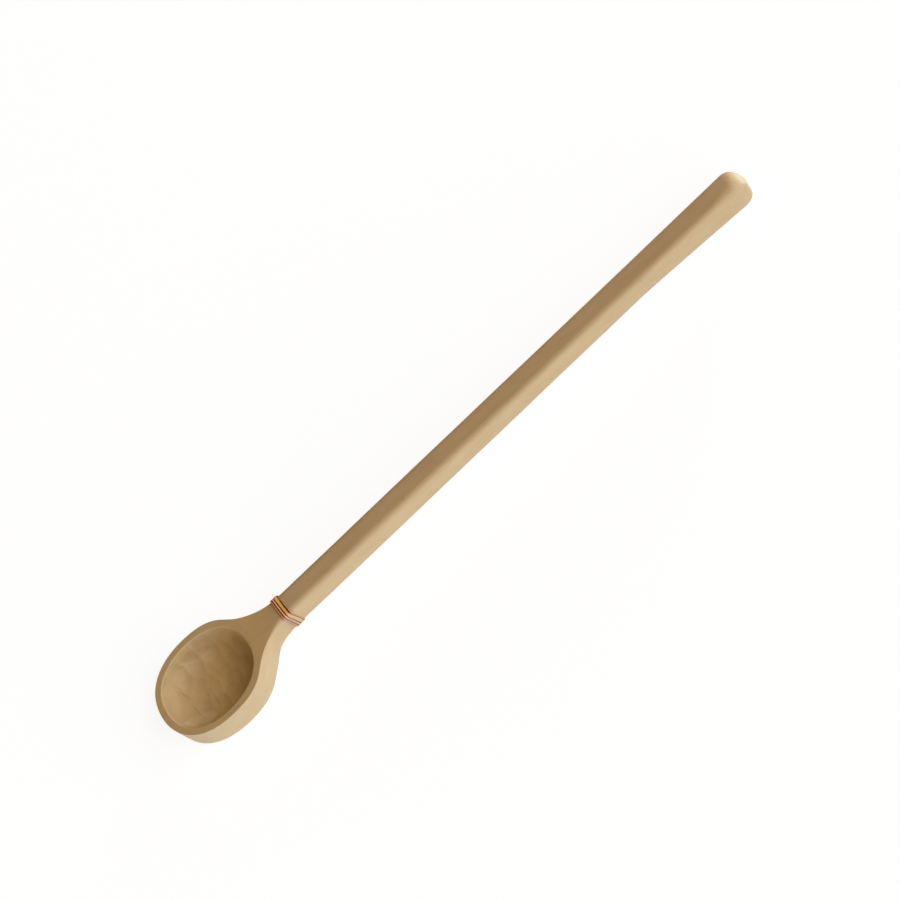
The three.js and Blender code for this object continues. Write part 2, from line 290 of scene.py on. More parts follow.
class Skin:
    """Points and faces of a mesh in the making."""

    def __init__(self):
        self.points = []
        self.faces = []

    def add(self, points):
        first = len(self.points)
        self.points.extend(tuple(point) for point in points)
        return list(range(first, len(self.points)))

    def at(self, numbers):
        return np.array([self.points[number] for number in numbers])

    def bridge(self, lower, upper, closed=True):
        for i in range(len(lower) if closed else len(lower) - 1):
            j = (i + 1) % len(lower)
            self.faces.append((lower[i], lower[j], upper[j], upper[i]))

    def grow(self, before, points):
        """A further ring of points, joined to the one before it."""
        ring = self.add(points)
        self.bridge(before, ring)
        return ring

    def fan(self, loop, centre, closed=True):
        for i in range(len(loop) if closed else len(loop) - 1):
            self.faces.append((loop[i], loop[(i + 1) % len(loop)], centre))

    def piece(self, name):
        mesh = bpy.data.meshes.new(name)
        mesh.from_pydata(self.points, [], self.faces)
        work = bmesh.new()
        work.from_mesh(mesh)
        bmesh.ops.recalc_face_normals(work, faces=work.faces)
        work.to_mesh(mesh)
        work.free()
        mesh.shade_smooth()
        made = bpy.data.objects.new(name, mesh)
        bpy.context.scene.collection.objects.link(made)
        return made


def mark_points(mesh, marks):
    """Keeps amounts with a mesh's points, under the names by which its material reads them."""
    for name, amounts in marks.items():
        values = mesh.attributes.new(name, "FLOAT", "POINT")
        values.data.foreach_set("value", amounts)
    mesh.update()


def outer_rings():
    """Rings round the whole body from the edge of the underside up to the edge of the top."""
    top_places, top_normals = body_plan(TIP_X)
    low_places, low_normals = body_plan(TIP_X - TIP_LEAN)
    along = top_places[:, 0]
    top_reach = edge_size(along, RIM_EDGE_RADIUS, TOP_EDGE_REACH)
    top_drop = edge_size(along, RIM_EDGE_RADIUS, TOP_EDGE_DROP)
    low_radius = edge_size(low_places[:, 0], BASE_EDGE_RADIUS, HANDLE_EDGE_RADIUS)
    near_tip = smoothstep(along, TIP_X - TIP_EDGE_RUN, TIP_X)
    out = np.clip(top_places[:, 1] / (TIP_WIDTH / 2), 0, 1)
    # Growth of the upper edge and lean of the flank, each on the +Y side and then on the -Y side.
    growths = [lerp(1, TIP_EDGE_SHARE, near_tip * (1 - side * out) / 2) for side in (1, -1)]
    growths[0] *= edge_size(along, 1, lerp(1, FAR_EDGE_SHARE, out))
    leans = (0, FLANK_LEAN * np.exp(-(((along - FLANK_LEAN_X) / FLANK_LEAN_LENGTH) ** 2)))
    low_rings = []
    top_rings = []
    for angle in np.linspace(0, QUARTER_TURN, EDGE_STEPS + 1):
        place = low_places - low_normals * (low_radius * (1 - math.sin(angle)))[:, None]
        height = underside_height(place[:, 0]) + low_radius * (1 - math.cos(angle))
        half = np.column_stack([place, height])
        low_rings.append(closed_ring(half, half))
        halves = []
        for growth, lean in zip(growths, leans):
            inset = top_reach * growth * (1 - math.cos(angle))
            place = top_places + top_normals * (lean - inset)[:, None]
            height = top_height(place[:, 0]) - top_drop * growth * (1 - math.sin(angle))
            halves.append(np.column_stack([place, height]))
        top_rings.append(closed_ring(*halves))
    walls = [lerp(low_rings[-1], top_rings[0], step / WALL_STEPS) for step in range(1, WALL_STEPS)]
    return low_rings + walls + top_rings


def row_across(skin, ring, station):
    """Numbers of the points in a row across a ring, from the +Y side to the -Y side."""
    left = ring[station]
    right = ring[-station]
    shares = np.arange(1, ACROSS_STEPS)[:, None] / ACROSS_STEPS
    start, end = skin.at([left, right])
    return [left, *skin.add(lerp(start, end, shares)), right]


def close_across(skin, ring, stations):
    """Rows across a ring at the given stations, joined to each other."""
    rows = [row_across(skin, ring, station) for station in stations]
    for row, following in zip(rows, rows[1:]):
        skin.bridge(row, following, closed=False)
    return rows


def cavity_edge(loop):
    """The cavity's outline at the rim, at the bearings of a loop's points from the bowl's centre."""
    flank = (0, BOWL_WIDTH / 2 - RIM_WALL)
    near = quarter(flank, (CAVITY_REACH, 0), ROUNDNESS, CAVITY_EDGE_STEPS)
    far = quarter((RIM_WALL - BOWL_REACH, 0), flank, ROUNDNESS, CAVITY_EDGE_STEPS)
    half = joined([far, near])[0][::-1]
    bearings = np.arctan2(half[:, 1], half[:, 0])
    reach = np.hypot(half[:, 0], half[:, 1])
    wanted = np.arctan2(loop[:, 1], loop[:, 0])
    length = np.interp(np.abs(wanted), bearings, reach)
    return np.column_stack([np.cos(wanted) * length, np.sin(wanted) * length])


def chamfer_drop(radial):
    """Depth of the cavity's rounded edge in each direction from the bowl's centre."""
    crisp = np.zeros(len(radial))
    for bearing in np.radians(CRISP_BEARINGS):
        nearness = radial @ (math.cos(bearing), math.sin(bearing))
        crisp = np.maximum(crisp, smoothstep(nearness, *np.cos(np.radians(CRISP_SPREAD))))
    return lerp(RIM_CHAMFER, CRISP_CHAMFER, crisp)


def carve_cavity(skin, loop):
    """The rim's face, its inner edge and the cavity, from a loop of points round the bowl.

    Gives the numbers of the first point of that edge and of the first point below it."""
    start = skin.at(loop)[:, :2]
    edge = cavity_edge(start)
    radial = edge / np.linalg.norm(edge, axis=1)[:, None]
    drop = chamfer_drop(radial)
    reach = radial * (CHAMFER_SLANT * drop)[:, None]
    ring = loop
    for step in range(1, LAND_STEPS + 1):
        place = lerp(start, edge + reach, step / LAND_STEPS)
        ring = skin.grow(ring, np.column_stack([place, top_height(place[:, 0])]))
    first_of_lip = len(skin.points)
    for step in range(1, CHAMFER_STEPS + 1):
        angle = QUARTER_TURN * step / (CHAMFER_STEPS + 1)
        place = edge + reach * (1 - math.sin(angle))
        height = top_height(place[:, 0]) - drop * (1 - math.cos(angle))
        ring = skin.grow(ring, np.column_stack([place, height]))
    first_below = len(skin.points)
    to_neck = smoothstep(edge[:, 0], 0, CAVITY_REACH)
    power = 2 / lerp(CAVITY_FULLNESS, NECK_FULLNESS, to_neck)
    for step in range(CAVITY_STEPS, 0, -1):
        angle = QUARTER_TURN * step / CAVITY_STEPS
        place = edge * (math.sin(angle) ** power)[:, None]
        climb = 1 - max(math.cos(angle), 0) ** power
        height = lerp(FLOOR_THICKNESS, top_height(place[:, 0]) - drop, climb)
        ring = skin.grow(ring, np.column_stack([place, height]))
    skin.fan(ring, skin.add([(0, 0, FLOOR_THICKNESS)])[0])
    return first_of_lip, first_below


def point_vectors(mesh, kind):
    """The places or the normals of a mesh's points, one to a row."""
    values = np.zeros(len(mesh.vertices) * 3)
    mesh.vertices.foreach_get(kind, values)
    return values.reshape(-1, 3)


def hand_moves(places, hollow):
    """How far out a hand's wobble and, in the cavity, the cuts of the gouge leave each place."""
    above_base = smoothstep(places[:, 2], *WOBBLE_HEIGHTS)
    moves = np.zeros(len(places))
    for number, (x, y, z) in enumerate(places):
        slow = noise.noise((x / WOBBLE_LENGTH, y / WOBBLE_ACROSS, z / WOBBLE_ACROSS))
        cut = noise.voronoi((x / GOUGE_WIDTH, y / GOUGE_LENGTH, z / GOUGE_LENGTH))[0][0]
        ridge = cut * cut - GOUGE_LEVEL
        moves[number] = WOBBLE * slow * above_base[number] + GOUGE_DEPTH * ridge * hollow[number]
    return moves


def hand_finish(body, first_of_lip, first_below):
    """Moves the surface in and out as handwork leaves it, and marks where the wood's tones and its
    painted shade lie.
    """
    mesh = body.data
    places = point_vectors(mesh, "co")
    normals = point_vectors(mesh, "normal")
    numbers = np.arange(len(places))
    inside = numbers >= first_below
    depth = top_height(places[:, 0]) - places[:, 2]
    hollow = inside * smoothstep(depth, *HOLLOW_DEPTHS)
    places += normals * hand_moves(places, hollow)[:, None]
    mesh.vertices.foreach_set("co", places.ravel())
    x = places[:, 0]
    y = places[:, 1]
    facing_x, facing_y, facing_z = normals.T
    # Painted shade: a deeper tint on the cavity's walls that face away from the key light, less on the
    # slant by the neck, and some on the rim and neck.
    slanted = smoothstep(x, *SLANT_X) * smoothstep(y, *SLANT_Y)
    deep_shade_share = smoothstep(facing_y - facing_x, *DEEP_SHADE_FACING) * lerp(1, SLANT_SHADE_SHARE, slanted)
    on_bowl = 1 - smoothstep(x, SCOOP_CREST_X, NECK_END_X)
    rim_shade_share = RIM_SHADE_SHARE * on_bowl * lerp(1, FAR_RIM_SHADE_SHARE, smoothstep(y, *FAR_RIM_Y))
    # Painted shade that dims the lit side of the cavity's edge.
    lip_shade = (numbers >= first_of_lip) * (1 - smoothstep(depth, *LIP_DEPTHS))
    lip_shade *= lerp(LIP_EDGE_SHARE, 1, smoothstep(depth, *LIP_EDGE_DEPTHS))
    lit = smoothstep(LIP_TOWARDS[0] * facing_x + LIP_TOWARDS[1] * facing_y, *LIP_FACING)
    # Painted shade along the upper edge on the +Y side, away from the light.
    far_edge_shade = smoothstep(facing_y, *FAR_EDGE_ACROSS) * smoothstep(facing_z, *FAR_EDGE_UP)
    marks = {
        "hollow": hollow,
        "upper": np.maximum(inside, np.clip(facing_z, 0, 1)),
        "deep_shade_share": np.where(inside, deep_shade_share, rim_shade_share),
        "lip_shade": lip_shade * lit,
        "far_edge_shade": far_edge_shade * (1 - inside),
        "end": smoothstep(facing_x, *END_FACING) * smoothstep(x, FLARE_START_X, TIP_X),
    }
    mark_points(mesh, marks)


def drill_lace_holes(body):
    """The two blind holes in the neck's underside that take the ends of the lace."""
    skin = Skin()
    underside = float(underside_height(lace_centre_x))
    angles = (np.arange(HOLE_SIDES) + HOLE_TURN) * FULL_TURN / HOLE_SIDES
    outline = np.column_stack([np.cos(angles), np.sin(angles)]) * LACE_HOLE_RADIUS
    for shift in (LACE_SHIFT_KNOTS[0], LACE_SHIFT_KNOTS[-1]):
        place = outline + (lace_centre_x + shift, 0)
        ends = []
        for height in (underside - LACE_HOLE_DEPTH, underside + LACE_HOLE_DEPTH):
            ends.append(skin.add(np.column_stack([place, np.full(HOLE_SIDES, height)])))
        skin.bridge(*ends)
        skin.faces.extend(tuple(end) for end in ends)
    drill = skin.piece("drill")
    cut = body.modifiers.new("lace_holes", "BOOLEAN")
    cut.operation = "DIFFERENCE"
    cut.solver = "EXACT"
    cut.object = drill
    bpy.context.view_layer.update()
    shape = bpy.data.meshes.new_from_object(body.evaluated_get(bpy.context.evaluated_depsgraph_get()))
    body.modifiers.clear()
    body.data = shape
    bpy.data.objects.remove(drill)


def wooden_body():
    """The one wooden piece: its sides, its underside, its top and the cavity."""
    skin = Skin()
    rings = [skin.add(ring) for ring in outer_rings()]
    for lower, upper in zip(rings, rings[1:]):
        skin.bridge(lower, upper)
    bottom = rings[0]
    top = rings[-1]
    tip = len(bottom) // 2
    rows = close_across(skin, bottom, range(1, tip))
    skin.fan(rows[0], bottom[0], closed=False)
    skin.fan(rows[-1], bottom[tip], closed=False)
    chord = FAR_STEPS + SHOULDER_STEPS + BOWL_NECK_STEPS
    rows = close_across(skin, top, range(chord, tip))
    skin.fan(rows[-1], top[tip], closed=False)
    bowl_loop = top[chord::-1] + top[: -chord - 1 : -1] + rows[0][-2:0:-1]
    firsts = carve_cavity(skin, bowl_loop)
    body = skin.piece("carved_wood")
    hand_finish(body, *firsts)
    drill_lace_holes(body)
    return body


def lace_pass():
    """One pass of the lace round the neck's section, from the middle of the underside.

    Gives places on its inner and outer faces in the section's plane, the direction away from the wood
    at each, the share of the pass gone by, and the length of the pass."""
    side = HANDLE_WIDTH / 2 + LACE_GAP
    top = float(top_height(lace_centre_x)) + LACE_GAP
    bottom = float(underside_height(lace_centre_x)) - LACE_GAP
    extremes = np.array([(side, bottom), (side, top), (-side, top), (-side, bottom)])
    outside = np.array([(1, -1), (1, 1), (-1, 1), (-1, -1)])
    low_radii = np.full(2, HANDLE_EDGE_RADIUS + LACE_GAP)
    top_radii = np.array([TOP_EDGE_REACH, TOP_EDGE_DROP])
    inner_radii = [low_radii, top_radii * FAR_EDGE_SHARE + LACE_GAP, top_radii + LACE_GAP, low_radii]
    crease = np.full(2, LACE_CREASE_RADIUS)
    outer_radii = [low_radii + LACE_THICKNESS, crease, crease, low_radii + LACE_THICKNESS]
    faces = []
    for stand_off, radii in ((0, np.array(inner_radii)), (LACE_THICKNESS, np.array(outer_radii))):
        faces.append((radii, extremes + outside * (stand_off - radii)))
    stations = []
    for index in range(len(extremes)):
        flat = [(index, share, 0) for share in np.linspace(0, 1, LACE_FLAT_STEPS, endpoint=False)]
        turn = [(index, 1, share) for share in np.linspace(0, 1, LACE_CORNER_STEPS, endpoint=False)]
        stations += flat + turn
    middle = LACE_FLAT_STEPS // 2
    stations = stations[middle:] + stations[:middle]
    inner, outer, outwards = [], [], []
    for index, along, turned in stations:
        angle = QUARTER_TURN * (index + turned)
        outward = np.array([math.sin(angle), -math.cos(angle)])
        for face, (radii, corners) in zip((inner, outer), faces):
            shape = lerp(radii[index - 1], radii[index], along)
            reach = shape * shape * outward / np.linalg.norm(shape * outward)
            face.append(lerp(corners[index - 1], corners[index], along) + reach)
        outwards.append(outward)
    lengths = np.linalg.norm(np.diff(outer, axis=0, append=outer[:1]), axis=1)
    shares = np.concatenate([[0], np.cumsum(lengths)[:-1]]) / lengths.sum()
    return np.array(inner), np.array(outer), np.array(outwards), shares, lengths.sum()


def lace_end(way):
    """One end of the lace, from the underside up into its hole.

    Gives places on its faces and directions as lace_pass does. way is the direction along Y in which
    the lace comes to the hole."""
    angles = np.linspace(0, QUARTER_TURN, LACE_BEND_STEPS + 1)
    outwards = np.column_stack([way * np.sin(angles), -np.cos(angles)])
    underside = float(underside_height(lace_centre_x))
    pivot_height = underside - LACE_GAP - LACE_THICKNESS / 2 + LACE_BEND_RADIUS
    pivot = np.array([-way * LACE_BEND_RADIUS, pivot_height])
    middle = np.vstack([pivot + outwards * LACE_BEND_RADIUS, (0, underside + LACE_END_DEPTH)])
    outwards = np.vstack([outwards, outwards[-1]])
    half = outwards * LACE_THICKNESS / 2
    return middle - half, middle + half, outwards


def lace_route():
    """The whole lace from end to end: its inner and outer faces, directions, and the turns gone by."""
    inner, outer, outwards, shares, pass_length = lace_pass()
    first = [values[::-1] for values in lace_end(-1)]
    last = lace_end(1)
    turns = np.concatenate([shares + turn for turn in range(LACE_TURNS)])
    bend = LACE_BEND_RADIUS / pass_length
    clear = (turns > bend) & (turns < LACE_TURNS - bend)
    passes = [np.tile(values, (LACE_TURNS, 1))[clear] for values in (inner, outer, outwards)]
    inner, outer, outwards = (np.concatenate(parts) for parts in zip(first, passes, last))
    turns = np.concatenate([np.zeros(len(first[0])), turns[clear], np.full(len(last[0]), LACE_TURNS)])
    return inner, outer, outwards, turns


def lace_section():
    """Places round the lace's section: each one's way across in half widths and its share of the way
    from the inner face to the outer one, how far it is in the groove, and if it is on the outer half."""
    angles = np.arange(LACE_SIDES) * FULL_TURN / LACE_SIDES
    across = np.sign(np.cos(angles)) * np.abs(np.cos(angles)) ** (2 / LACE_SQUARENESS)
    up = np.sign(np.sin(angles)) * np.abs(np.sin(angles)) ** (2 / LACE_SQUARENESS)
    outside = up > 0
    groove = np.where(outside, np.exp(-(((across - GROOVE_PLACE) / GROOVE_BREADTH) ** 2)), 0)
    tilted = 1 - LACE_TILT * np.where(outside, across, 0)
    height = (1 + up) / 2 * tilted * (1 - GROOVE_DEPTH * groove)
    return across, height, groove, outside


def leather_lace():
    """The lace, as its section swept along its route, with marks where the leather's tones, its painted
    light and its painted shade lie.
    """
    inner, outer, outwards, turns = lace_route()
    across, height, groove, outside = lace_section()
    shift = lace_centre_x + np.interp(turns, LACE_TURN_KNOTS, LACE_SHIFT_KNOTS)
    width = np.interp(turns, LACE_WIDTH_TURNS, LACE_WIDTH_KNOTS)
    skin = Skin()
    rings = []
    for number in range(len(turns)):
        along = shift[number] + across * width[number] / 2
        section = lerp(inner[number], outer[number], height[:, None])
        rings.append(skin.add(np.column_stack([along, section])))
    for ring, following in zip(rings, rings[1:]):
        skin.bridge(ring, following)
    for end in (rings[0], rings[-1]):
        skin.fan(end, skin.add([skin.at(end).mean(axis=0)])[0])
    lace = skin.piece("leather_lace")
    from_edge = width[:, None] * (1 - across) / 2
    from_other = width[:, None] - from_edge
    band = np.interp(turns, LACE_EDGE_TURNS, LACE_EDGE_KNOTS)[:, None]
    handle_edge = 1 - smoothstep(from_edge, EDGE_CORE * band, band)
    bowl_edge = 1 - smoothstep(from_other, BOWL_EDGE_LIMITS[0] * band, BOWL_EDGE_LIMITS[1] * band)
    # Dark dyed cut edges, with painted shade on the whole inner face, under the lace.
    dyed_edge_and_shade = np.where(outside, np.maximum(handle_edge, bowl_edge), 1)
    # Painted shade on the lace's +Y side, which faces away from the key.
    far_side_shade = FAR_SIDE_SHADE * smoothstep(outwards[:, :1], *FAR_SIDE_FACING)
    # Painted light on the lace's -Y side, which faces the key.
    lit_side = smoothstep(-outwards[:, 0], *NEAR_SIDE_FACING)
    # The last two amounts of each mark are for the middles of the lace's ends.
    marks = {
        "dyed_edge_and_shade": np.append(np.maximum(dyed_edge_and_shade, far_side_shade), [1, 1]),
        "groove": np.append(np.tile(groove, len(turns)), [0, 0]),
        "strand": np.append(np.repeat(turns, LACE_SIDES), [0, LACE_TURNS]),
        "lit_side": np.append(np.repeat(lit_side, LACE_SIDES), [0, 0]),
    }
    mark_points(lace.data, marks)
    return lace


def srgb(red, green, blue):
    """A colour as it is read off a screen, in the linear values that nodes take."""
    parts = [value / 255 for value in (red, green, blue)]
    return [part / 12.92 if part <= 0.04045 else ((part + 0.055) / 1.055) ** 2.4 for part in parts] + [1]


# Colours of the wood
WOOD_PALE = srgb(226, 205, 169)
WOOD_DEEP = srgb(212, 187, 148)
WOOD_FLECK = srgb(116, 78, 42)
WOOD_END = srgb(236, 222, 194)
HANDLE_TONE = srgb(255, 251, 244)  # tints the handle, and comes in along the neck
UPPER_SHADE = srgb(244, 244, 244)  # painted shade: darkens what faces up
TOP_SHADE_TINT = srgb(255, 238, 217)  # painted shade: the warmer tint of what faces up
DEEP_SHADE_TINT = srgb(255, 221, 158)  # painted shade: a deeper, warmer tint on the cavity's darkest wall and on the rim
LIP_SHADE_TONE = srgb(237, 246, 246)  # painted shade that dims the lit side of the cavity's edge
FAR_EDGE_SHADE_TONE = srgb(238, 234, 228)  # painted shade on the upper edge on the +Y side, which turns away from the light
PATCH_COOL = srgb(238, 239, 240)  # the cavity's cuts are tinted between these
PATCH_WARM = srgb(255, 255, 252)
# Painted highlight and painted shade for broad strokes in the cavity
PAINTED_HIGHLIGHT = srgb(240, 210, 160)
PAINTED_SHADE = srgb(176, 148, 106)

# Colours of the leather
LEATHER_GOLD = srgb(250, 186, 98)
LEATHER_ORANGE = srgb(248, 184, 124)
LEATHER_RUST = srgb(222, 138, 80)
# Lighter copies of the strands' colours, painted light on the lace's lit -Y side
LEATHER_LIT_GOLD = srgb(228, 194, 152)
LEATHER_LIT_ORANGE = srgb(224, 188, 168)
LEATHER_LIT_RUST = srgb(206, 166, 148)
# dark dyed edges, and painted shade under the lace and in the gap by the wood
LEATHER_DYE_AND_SHADE = srgb(98, 20, 2)
# lighter copy of the dark edge's colour, painted light on the lit -Y side
LEATHER_LIT_DYE = srgb(180, 128, 102)

# The middle of what a noise gives, and how often in a metre each look changes along X, Y and Z
NOISE_MIDDLE = 0.5
BLOTCH_SCALE = (30, 90, 90)
FIBRE_SCALE = (60, 1500, 1500)
SWAY_SCALE = (9, 40, 40)
SANDING_SCALE = (1300, 60, 1300)
PORE_SCALE = (220, 1700, 1700)
MOTTLE_SCALE = (450, 450, 450)
LEATHER_GRAIN_SCALE = (2600, 2600, 2600)

# Growth rings
RING_SPACING = 0.0041
RING_SWAY = 0.012
PITH_OFFSET = (0, 0.075, 0.12)  # from the log's middle to the frame's origin
LOG_STRETCH = (0.04, 1, 1)  # the rings change less along the log

# Share of the deep colour in the wood, and by how much each part of the grain changes it
DEEP_SHARE = 0.45
BLOTCH_CHANGE = 1.2
FIBRE_CHANGE = 0.8
# painted light: by this the cavity's wood is made paler
HOLLOW_PAINTED_LIGHT = -0.25
RING_CHANGE = 0.05

# Ramps: a value from and to, and where it isn't from 0 to 1, what that becomes
SHADED_RAMP = (0, 0.5)  # by how far the wood faces up, as the next two
TINTED_SHADE_RAMP = (0.58, 0.98)
SCRATCHED_RAMP = (0.5, 0.8)
PALED_RAMP = (0.3, 0.7, 0.5, 0.9)  # by the sanding, as the next
SANDED_RAMP = (0.52, 0.7, 0, 0.3)
PORE_RAMP = (0.7, 0.78, 0, 0.4)
WORN_RAMP = (0.35, 0.6, 0.5, 1)  # by the fibre, as the next
WOOD_ROUGHNESS_RAMP = (0.3, 0.7, 0.58, 0.7)
LEATHER_ROUGHNESS_RAMP = (0.3, 0.7, 0.38, 0.55)  # by the mottle
LEATHER_GLOSS_RAMP = (0, 0.8, 0.45, 0)  # by the dark edge
WOOD_GLOSS = 0.2
WOOD_RELIEF = (0.25, 0.0002)  # strength and height
LEATHER_RELIEF = (0.4, 0.00015)

# Changes along the wood and in the leather
HANDLE_TONE_RUN = (NECK_TURN_X / 2, NECK_END_X)  # along X
SANDED_RUN = (TIP_X - END_ROUND_LENGTH, TIP_X)
TURN_BLEND = 0.1  # of a turn on each side of where one strand's colour gives way to the next
LIT_SIDE_CHANGE = 0.6  # of how far it is rubbed, by the mottle
EDGE_CHANGE = 0.5  # of how much lighter its lit side is painted, by the mottle
# of painted shade along the third strand's groove
GROOVE_SHADE = 0.35

# Scratches that the gouge and the knife left: from and to, in plan, and how dark each is.
SCRATCH_WIDTH = 0.0003
SCRATCHES = (
    ((-0.0004, 0.034), (-0.0006, 0.0262), 0.55),
    ((-0.0303, 0.0196), (-0.0275, 0.0141), 0.5),
    ((-0.0266, 0.0154), (-0.0247, 0.0069), 0.65),
    ((-0.0275, 0.0214), (-0.0251, 0.0152), 0.4),
    ((-0.0263, 0.003), (-0.0245, -0.0159), 0.7),
    ((-0.0078, 0.0144), (-0.0073, 0.0099), 0.65),
    ((-0.0088, 0.005), (-0.0088, -0.0133), 0.65),
    ((-0.0124, 0.0047), (-0.0138, -0.0084), 0.4),
    ((0.0062, 0.0012), (0.0059, -0.0028), 0.5),
    ((0.0189, -0.0014), (0.0173, -0.0134), 0.4),
    ((0.0428, 0.0185), (0.0428, 0.0075), 0.45),
)

# Painted highlights and painted shade in the cavity, each a broad stroke: from and to, in plan, half
# their breadth, how much of it has the full colour, and the colour and its share.
PAINTED_STROKES = (
    ((-0.0378, -0.0072), (-0.0302, -0.0186), 0.002, 0, PAINTED_HIGHLIGHT, 0.5),
    ((-0.037, -0.009), (-0.014, -0.0175), 0.007, 0.3, PAINTED_HIGHLIGHT, 0.35),
    ((-0.012, 0.0312), (0.012, 0.0272), 0.0036, 0.5, PAINTED_SHADE, 0.3),
)
STROKE_SOFTNESS = 0.00005  # over which painted strokes and scratches fade out beyond their breadth

# Size of the cuts, which differ a little in tone, and how cuts, painted strokes and scratches waver.
PATCH_WIDTH = 0.017
PATCH_LENGTH = 0.024
WAVER = 0.003
WAVER_SCALE = 120


class Nodes:
    """A short way of writing a node tree: inputs are values or the sockets they come from."""

    def __init__(self, tree):
        self.tree = tree
        tree.nodes.clear()

    def add(self, kind, inputs=(), **settings):
        made = self.tree.nodes.new(kind)
        for name, value in settings.items():
            setattr(made, name, value)
        for name, value in dict(inputs).items():
            if isinstance(value, bpy.types.NodeSocket):
                self.tree.links.new(value, made.inputs[name])
            else:
                made.inputs[name].default_value = value
        return made

    def math(self, operation, *values, clamp=False):
        inputs = dict(enumerate(values))
        return self.add("ShaderNodeMath", inputs, operation=operation, use_clamp=clamp).outputs[0]

    def vector(self, operation, *values, output="Vector"):
        inputs = dict(enumerate(values))
        return self.add("ShaderNodeVectorMath", inputs, operation=operation).outputs[output]

    def mix(self, share, a, b, blend="MIX"):
        inputs = {0: share, 6: a, 7: b}
        return self.add("ShaderNodeMix", inputs, data_type="RGBA", blend_type=blend).outputs[2]

    def tint(self, share, colour, tone):
        return self.mix(share, colour, tone, blend="MULTIPLY")

    def place(self):
        return self.add("ShaderNodeTexCoord").outputs["Object"]

    def mark(self, name):
        """What mark_points keeps under a name."""
        return self.add("ShaderNodeAttribute", attribute_name=name).outputs["Fac"]

    def noise(self, place, scale, detail=3, roughness=0.5):
        """Noise over places stretched by a scale for each axis."""
        stretched = self.vector("MULTIPLY", place, scale)
        inputs = {"Vector": stretched, "Scale": 1, "Detail": detail, "Roughness": roughness}
        return self.add("ShaderNodeTexNoise", inputs).outputs["Fac"]

    def varied(self, value, grain, change, clamp=False):
        """A value made more or less by a noise, and left as it is at the noise's middle."""
        departure = self.math("SUBTRACT", grain, NOISE_MIDDLE)
        return self.math("MULTIPLY_ADD", departure, change, value, clamp=clamp)

    def ramp(self, value, low, high, to_low=0, to_high=1):
        inputs = {"Value": value, "From Min": low, "From Max": high, "To Min": to_low, "To Max": to_high}
        return self.add("ShaderNodeMapRange", inputs, interpolation_type="SMOOTHSTEP").outputs[0]

    def surface(self, colour, roughness, gloss, grain, relief):
        """The end of a material's tree, with a grain that stands up by a relief's strength and height."""
        strength, height = relief
        inputs = {"Strength": strength, "Distance": height, "Height": grain}
        bump = self.add("ShaderNodeBump", inputs).outputs[0]
        inputs = {"Base Color": colour, "Normal": bump}
        inputs |= {"Roughness": roughness, "Specular IOR Level": gloss}
        shader = self.add("ShaderNodeBsdfPrincipled", inputs).outputs[0]
        self.add("ShaderNodeOutputMaterial", {"Surface": shader})


def new_material(name):
    """An empty material and its nodes."""
    material = bpy.data.materials.new(name)
    material.use_nodes = True
    return material, Nodes(material.node_tree)


def stroke(nodes, place, start, end, breadth, core=0):
    """1 along a line in plan that narrows to both ends, and over a core on each side of it."""
    along = Vector((end[0] - start[0], end[1] - start[1], 0))
    flat = nodes.vector("MULTIPLY", place, (1, 1, 0))
    away = nodes.vector("SUBTRACT", flat, (*start, 0))
    gone = nodes.vector("DOT_PRODUCT", away, along / along.length_squared, output="Value")
    share = nodes.math("MULTIPLY", gone, 1, clamp=True)
    foot = nodes.add("ShaderNodeVectorMath", {0: along, "Scale": share}, operation="SCALE").outputs[0]
    apart = nodes.vector("DISTANCE", away, foot, output="Value")
    taper = nodes.math("MULTIPLY", share, nodes.math("SUBTRACT", 1, share))
    width = nodes.math("MULTIPLY", nodes.math("SQRT", taper), 2 * breadth)
    full_within = nodes.math("MULTIPLY", width, core)
    none_past = nodes.math("ADD", width, STROKE_SOFTNESS)
    return nodes.ramp(apart, full_within, none_past, 1, 0)


def wood_grain(nodes, place, fibre, hollow):
    """The wood's own colour, with its blotches, fibres and growth rings, made paler in the cavity as
    painted light.
    """
    blotch = nodes.noise(place, BLOTCH_SCALE, detail=4)
    sway = nodes.noise(place, SWAY_SCALE, detail=2)
    from_pith = nodes.vector("MULTIPLY_ADD", place, LOG_STRETCH, PITH_OFFSET)
    distance = nodes.vector("LENGTH", from_pith, output="Value")
    swayed = nodes.math("MULTIPLY_ADD", sway, RING_SWAY, distance)
    ring = nodes.math("SINE", nodes.math("MULTIPLY", swayed, FULL_TURN / RING_SPACING))
    deep = nodes.varied(DEEP_SHARE, blotch, BLOTCH_CHANGE)
    deep = nodes.varied(deep, fibre, FIBRE_CHANGE)
    # Painted light: paler wood in the cavity.
    deep = nodes.math("MULTIPLY_ADD", hollow, HOLLOW_PAINTED_LIGHT, deep)
    deep = nodes.math("MULTIPLY_ADD", ring, RING_CHANGE, deep, clamp=True)
    return nodes.mix(deep, WOOD_PALE, WOOD_DEEP)


